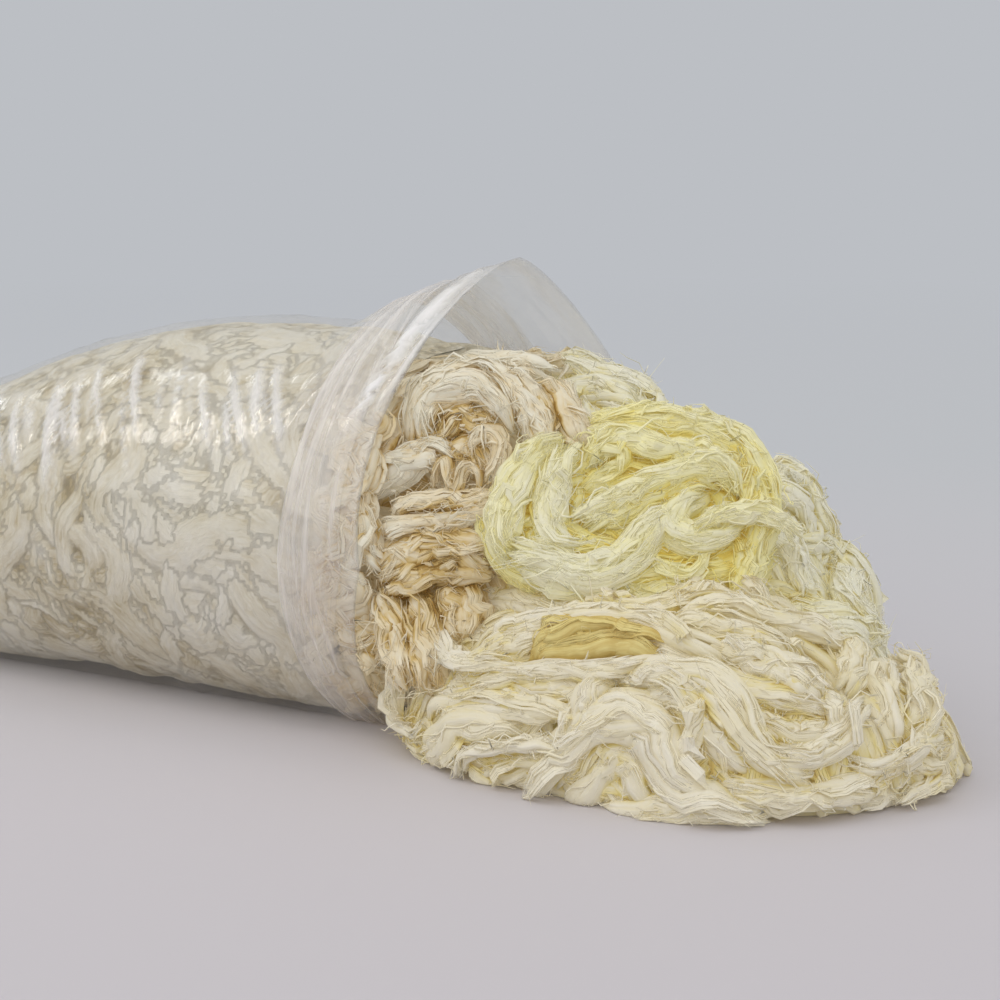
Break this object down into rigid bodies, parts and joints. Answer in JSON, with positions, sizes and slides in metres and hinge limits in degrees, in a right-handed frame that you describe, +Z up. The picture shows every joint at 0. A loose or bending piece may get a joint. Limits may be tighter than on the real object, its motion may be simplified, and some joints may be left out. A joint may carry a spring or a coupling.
{
  "type": "pulled string cheese in an open clear bag",
  "caption": "Pulled string cheese in loose braided hanks, packed in a clear film bag that lies open on its side, with the cheese spilling from its mouth.",
  "frame": {"origin": "on the flat underside of the bag, in line with its axis, at its mouth", "axes": "+X along the bag from its sealed end out of its mouth, +Y to the bag's left, +Z up from the surface it lies on"},
  "size_m": [0.459, 0.1458, 0.146],
  "materials": {
    "clear_film": "clear, glossy and finely wrinkled film",
    "packed_cheese": "moist off-white cheese pressed smooth by the film",
    "tan_cheese": "satin, fibrous, cream to tan",
    "cream_cheese": "matt, fibrous, cream white",
    "straw_cheese": "satin, fibrous, straw yellow",
    "yellow_cheese": "matt, fibrous, pale greenish yellow"
  },
  "bodies": {
    "root": {"bag_film": "clear_film", "bag_cheese": "packed_cheese", "mouth_hank": "tan_cheese", "front_hank": "cream_cheese", "back_hank": "straw_cheese", "top_hank": "yellow_cheese"}
  },
  "joints": []
}
